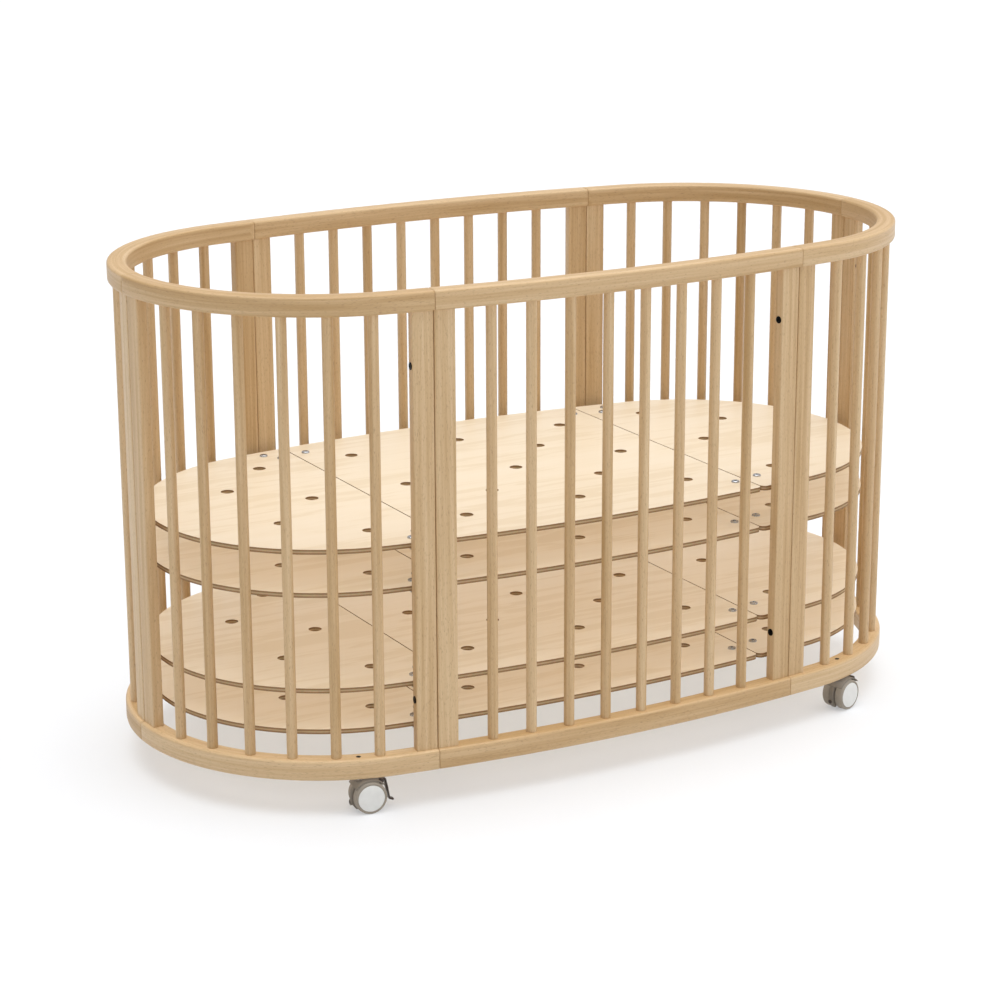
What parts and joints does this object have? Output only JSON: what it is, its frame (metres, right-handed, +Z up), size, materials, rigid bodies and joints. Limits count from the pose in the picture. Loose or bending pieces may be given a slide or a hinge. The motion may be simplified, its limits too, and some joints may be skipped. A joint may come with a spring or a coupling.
{
  "type": "baby crib",
  "caption": "Oval slatted wooden baby crib with height-set ply mattress bases inside a ring of bolted curved panels, on braked twin-wheel swivel casters.",
  "frame": {"origin": "on the floor, at the centre of the crib's outline", "axes": "+X along the length, +Y across the width towards the back, +Z up"},
  "size_m": [1.4, 0.741, 0.828],
  "materials": {
    "panel_wood": "clear satin lacquer on pale hardwood",
    "base_ply": "clear lacquer on pale plywood",
    "zinc": "bright zinc plate",
    "black_bolt": "satin black",
    "caster_housing": "moulded, satin",
    "wheel": "moulded, with a soft tread",
    "brake": "moulded, glossy"
  },
  "bodies": {
    "crib": {"front_top_rail": "panel_wood", "front_bottom_rail": "panel_wood", "front_posts": "panel_wood", "front_spindles": "panel_wood", "back_top_rail": "panel_wood", "back_bottom_rail": "panel_wood", "back_posts": "panel_wood", "back_spindles": "panel_wood", "front_right_top_rail": "panel_wood", "front_right_bottom_rail": "panel_wood", "front_right_posts": "panel_wood", "front_right_spindles": "panel_wood", "front_left_top_rail": "panel_wood", "front_left_bottom_rail": "panel_wood", "front_left_posts": "panel_wood", "front_left_spindles": "panel_wood", "back_right_top_rail": "panel_wood", "back_right_bottom_rail": "panel_wood", "back_right_posts": "panel_wood", "back_right_spindles": "panel_wood", "back_left_top_rail": "panel_wood", "back_left_bottom_rail": "panel_wood", "back_left_posts": "panel_wood", "back_left_spindles": "panel_wood", "base_1_middle": "base_ply", "base_1_right": "base_ply", "base_1_left": "base_ply", "base_2_middle": "base_ply", "base_2_right": "base_ply", "base_2_left": "base_ply", "base_3_middle": "base_ply", "base_3_right": "base_ply", "base_3_left": "base_ply", "base_4_middle": "base_ply", "base_4_right": "base_ply", "base_4_left": "base_ply", "base_brackets": "zinc", "base_screws": "zinc", "post_bolts": "black_bolt", "caster_stems": "zinc"},
    "front_left_caster": {"front_left_housing": "caster_housing", "front_left_axle": "zinc"},
    "front_left_brake": {"front_left_pedal": "brake"},
    "front_left_wheel_a": {"front_left_wheel_a": "wheel"},
    "front_left_wheel_b": {"front_left_wheel_b": "wheel"},
    "front_right_caster": {"front_right_housing": "caster_housing", "front_right_axle": "zinc"},
    "front_right_brake": {"front_right_pedal": "brake"},
    "front_right_wheel_a": {"front_right_wheel_a": "wheel"},
    "front_right_wheel_b": {"front_right_wheel_b": "wheel"},
    "back_left_caster": {"back_left_housing": "caster_housing", "back_left_axle": "zinc"},
    "back_left_brake": {"back_left_pedal": "brake"},
    "back_left_wheel_a": {"back_left_wheel_a": "wheel"},
    "back_left_wheel_b": {"back_left_wheel_b": "wheel"},
    "back_right_caster": {"back_right_housing": "caster_housing", "back_right_axle": "zinc"},
    "back_right_brake": {"back_right_pedal": "brake"},
    "back_right_wheel_a": {"back_right_wheel_a": "wheel"},
    "back_right_wheel_b": {"back_right_wheel_b": "wheel"}
  },
  "joints": [
    {"name": "front_left_swivel", "type": "hinge", "parent": "crib", "child": "front_left_caster", "pos_m": [-0.4603, -0.31121, 0.05], "axis": [0, 0, 1], "continuous": true},
    {"name": "front_left_roll_a", "type": "hinge", "parent": "front_left_caster", "child": "front_left_wheel_a", "pos_m": [-0.44645, -0.31327, 0.0265], "axis": [0.1478, 0.989, 0], "continuous": true},
    {"name": "front_left_roll_b", "type": "hinge", "parent": "front_left_caster", "child": "front_left_wheel_b", "pos_m": [-0.44645, -0.31327, 0.0265], "axis": [0.1478, 0.989, 0], "continuous": true},
    {"name": "front_left_brake_press", "type": "hinge", "parent": "front_left_caster", "child": "front_left_brake", "pos_m": [-0.42568, -0.31638, 0.048], "axis": [0.1478, 0.989, 0], "range_deg": [0, 6]},
    {"name": "front_right_swivel", "type": "hinge", "parent": "crib", "child": "front_right_caster", "pos_m": [0.4603, -0.31121, 0.05], "axis": [0, 0, 1], "continuous": true},
    {"name": "front_right_roll_a", "type": "hinge", "parent": "front_right_caster", "child": "front_right_wheel_a", "pos_m": [0.47364, -0.30697, 0.0265], "axis": [-0.3024, 0.9532, 0], "continuous": true},
    {"name": "front_right_roll_b", "type": "hinge", "parent": "front_right_caster", "child": "front_right_wheel_b", "pos_m": [0.47364, -0.30697, 0.0265], "axis": [-0.3024, 0.9532, 0], "continuous": true},
    {"name": "front_right_brake_press", "type": "hinge", "parent": "front_right_caster", "child": "front_right_brake", "pos_m": [0.49366, -0.30062, 0.048], "axis": [-0.3024, 0.9532, 0], "range_deg": [0, 6]},
    {"name": "back_left_swivel", "type": "hinge", "parent": "crib", "child": "back_left_caster", "pos_m": [-0.4603, 0.31121, 0.05], "axis": [0, 0, 1], "continuous": true},
    {"name": "back_left_roll_a", "type": "hinge", "parent": "back_left_caster", "child": "back_left_wheel_a", "pos_m": [-0.44926, 0.31982, 0.0265], "axis": [-0.6157, 0.788, 0], "continuous": true},
    {"name": "back_left_roll_b", "type": "hinge", "parent": "back_left_caster", "child": "back_left_wheel_b", "pos_m": [-0.44926, 0.31982, 0.0265], "axis": [-0.6157, 0.788, 0], "continuous": true},
    {"name": "back_left_brake_press", "type": "hinge", "parent": "back_left_caster", "child": "back_left_brake", "pos_m": [-0.43272, 0.33275, 0.048], "axis": [-0.6157, 0.788, 0], "range_deg": [0, 6]},
    {"name": "back_right_swivel", "type": "hinge", "parent": "crib", "child": "back_right_caster", "pos_m": [0.4603, 0.31121, 0.05], "axis": [0, 0, 1], "continuous": true},
    {"name": "back_right_roll_a", "type": "hinge", "parent": "back_right_caster", "child": "back_right_wheel_a", "pos_m": [0.47309, 0.30551, 0.0265], "axis": [0.4067, 0.9135, 0], "continuous": true},
    {"name": "back_right_roll_b", "type": "hinge", "parent": "back_right_caster", "child": "back_right_wheel_b", "pos_m": [0.47309, 0.30551, 0.0265], "axis": [0.4067, 0.9135, 0], "continuous": true},
    {"name": "back_right_brake_press", "type": "hinge", "parent": "back_right_caster", "child": "back_right_brake", "pos_m": [0.49227, 0.29697, 0.048], "axis": [0.4067, 0.9135, 0], "range_deg": [0, 6]}
  ]
}
